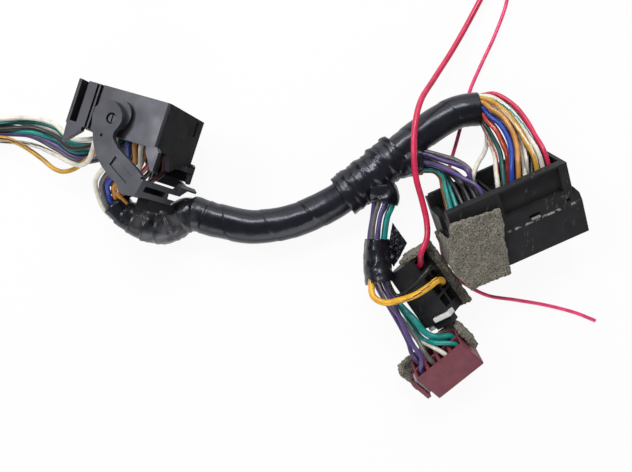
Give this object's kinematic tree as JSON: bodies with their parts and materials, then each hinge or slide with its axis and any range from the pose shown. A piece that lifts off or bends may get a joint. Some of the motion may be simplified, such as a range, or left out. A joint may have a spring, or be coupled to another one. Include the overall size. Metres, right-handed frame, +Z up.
{
  "type": "wiring harness",
  "caption": "Wiring harness: a taped trunk of wires joins a lever-locked plug, a wide plug and two small plugs on a branch, with loose leads.",
  "frame": {"origin": "on the bench, under the middle of the harness without its free leads", "axes": "+Z up from the bench, +X along the harness from the lever plug to the wide plug"},
  "size_m": [0.2565, 0.1637, 0.0375],
  "materials": {
    "slate_plastic": "satin, dark slate",
    "black_plastic": "matte black, scuffed",
    "white_plastic": "satin white",
    "burgundy_plastic": "matte burgundy",
    "lilac_plastic": "satin lilac grey",
    "felt": "speckled pressed felt",
    "tape": "glossy black PVC tape",
    "insulation_black": "satin PVC insulation",
    "insulation_blue": "satin PVC insulation",
    "insulation_cream": "satin PVC insulation",
    "insulation_crimson": "satin PVC insulation",
    "insulation_dark_teal": "satin PVC insulation",
    "insulation_grey": "satin PVC insulation",
    "insulation_ochre": "satin PVC insulation",
    "insulation_orange": "satin PVC insulation",
    "insulation_pink": "satin PVC insulation",
    "insulation_purple": "satin PVC insulation",
    "insulation_red": "satin PVC insulation",
    "insulation_red_pink": "satin PVC insulation",
    "insulation_teal": "satin PVC insulation",
    "insulation_yellow": "satin PVC insulation"
  },
  "bodies": {
    "harness": {"left_white_top": "insulation_cream", "left_teal": "insulation_teal", "left_white_mid": "insulation_cream", "left_black": "insulation_black", "left_purple": "insulation_purple", "left_grey": "insulation_grey", "left_white_low": "insulation_cream", "left_ochre": "insulation_ochre", "bunch_cream": "insulation_cream", "bunch_grey": "insulation_grey", "bunch_blue": "insulation_blue", "bunch_orange": "insulation_orange", "bunch_white": "insulation_cream", "bunch_pink": "insulation_pink", "fan_crimson": "insulation_crimson", "fan_cream": "insulation_cream", "fan_ochre": "insulation_ochre", "fan_black": "insulation_black", "fan_orange": "insulation_orange", "fan_blue": "insulation_blue", "fan_white_black": "insulation_cream", "fan_orange_red": "insulation_red", "fan_white_red": "insulation_cream", "fan_teal_dark": "insulation_dark_teal", "fan_purple": "insulation_purple", "fan_loop_white": "insulation_cream", "right_purple_top": "insulation_purple", "right_purple_front": "insulation_purple", "right_grey": "insulation_grey", "right_teal": "insulation_teal", "right_black": "insulation_black", "down_purple_low": "insulation_purple", "down_grey": "insulation_grey", "down_purple_top": "insulation_purple", "down_teal_top": "insulation_teal", "down_teal_low": "insulation_teal", "down_white": "insulation_cream", "down_yellow": "insulation_yellow", "down_black": "insulation_black", "red_lead_thick": "insulation_crimson", "red_lead_thin": "insulation_red_pink", "lever_plug_housing": "slate_plastic", "lever_plug_block": "black_plastic", "wide_plug_housing": "black_plastic", "wide_plug_block_left": "slate_plastic", "wide_plug_block_right": "slate_plastic", "wide_plug_pad": "felt", "small_plug_housing": "black_plastic", "small_plug_lock": "white_plastic", "small_plug_pad": "felt", "burgundy_plug_housing": "burgundy_plastic", "burgundy_plug_lock": "lilac_plastic", "burgundy_plug_pad": "felt", "end_plug": "black_plastic", "crimp_cap": "white_plastic", "trunk_tape": "tape", "branch_tape": "tape", "small_tape": "tape"},
    "lever": {"lever": "slate_plastic"}
  },
  "joints": [
    {"name": "lever_pivot", "type": "hinge", "parent": "harness", "child": "lever", "pos_m": [-0.06228, 0.03657, 0.01734], "axis": [-0.2781, 0.0904, 0.9563], "range_deg": [0, 60]}
  ]
}
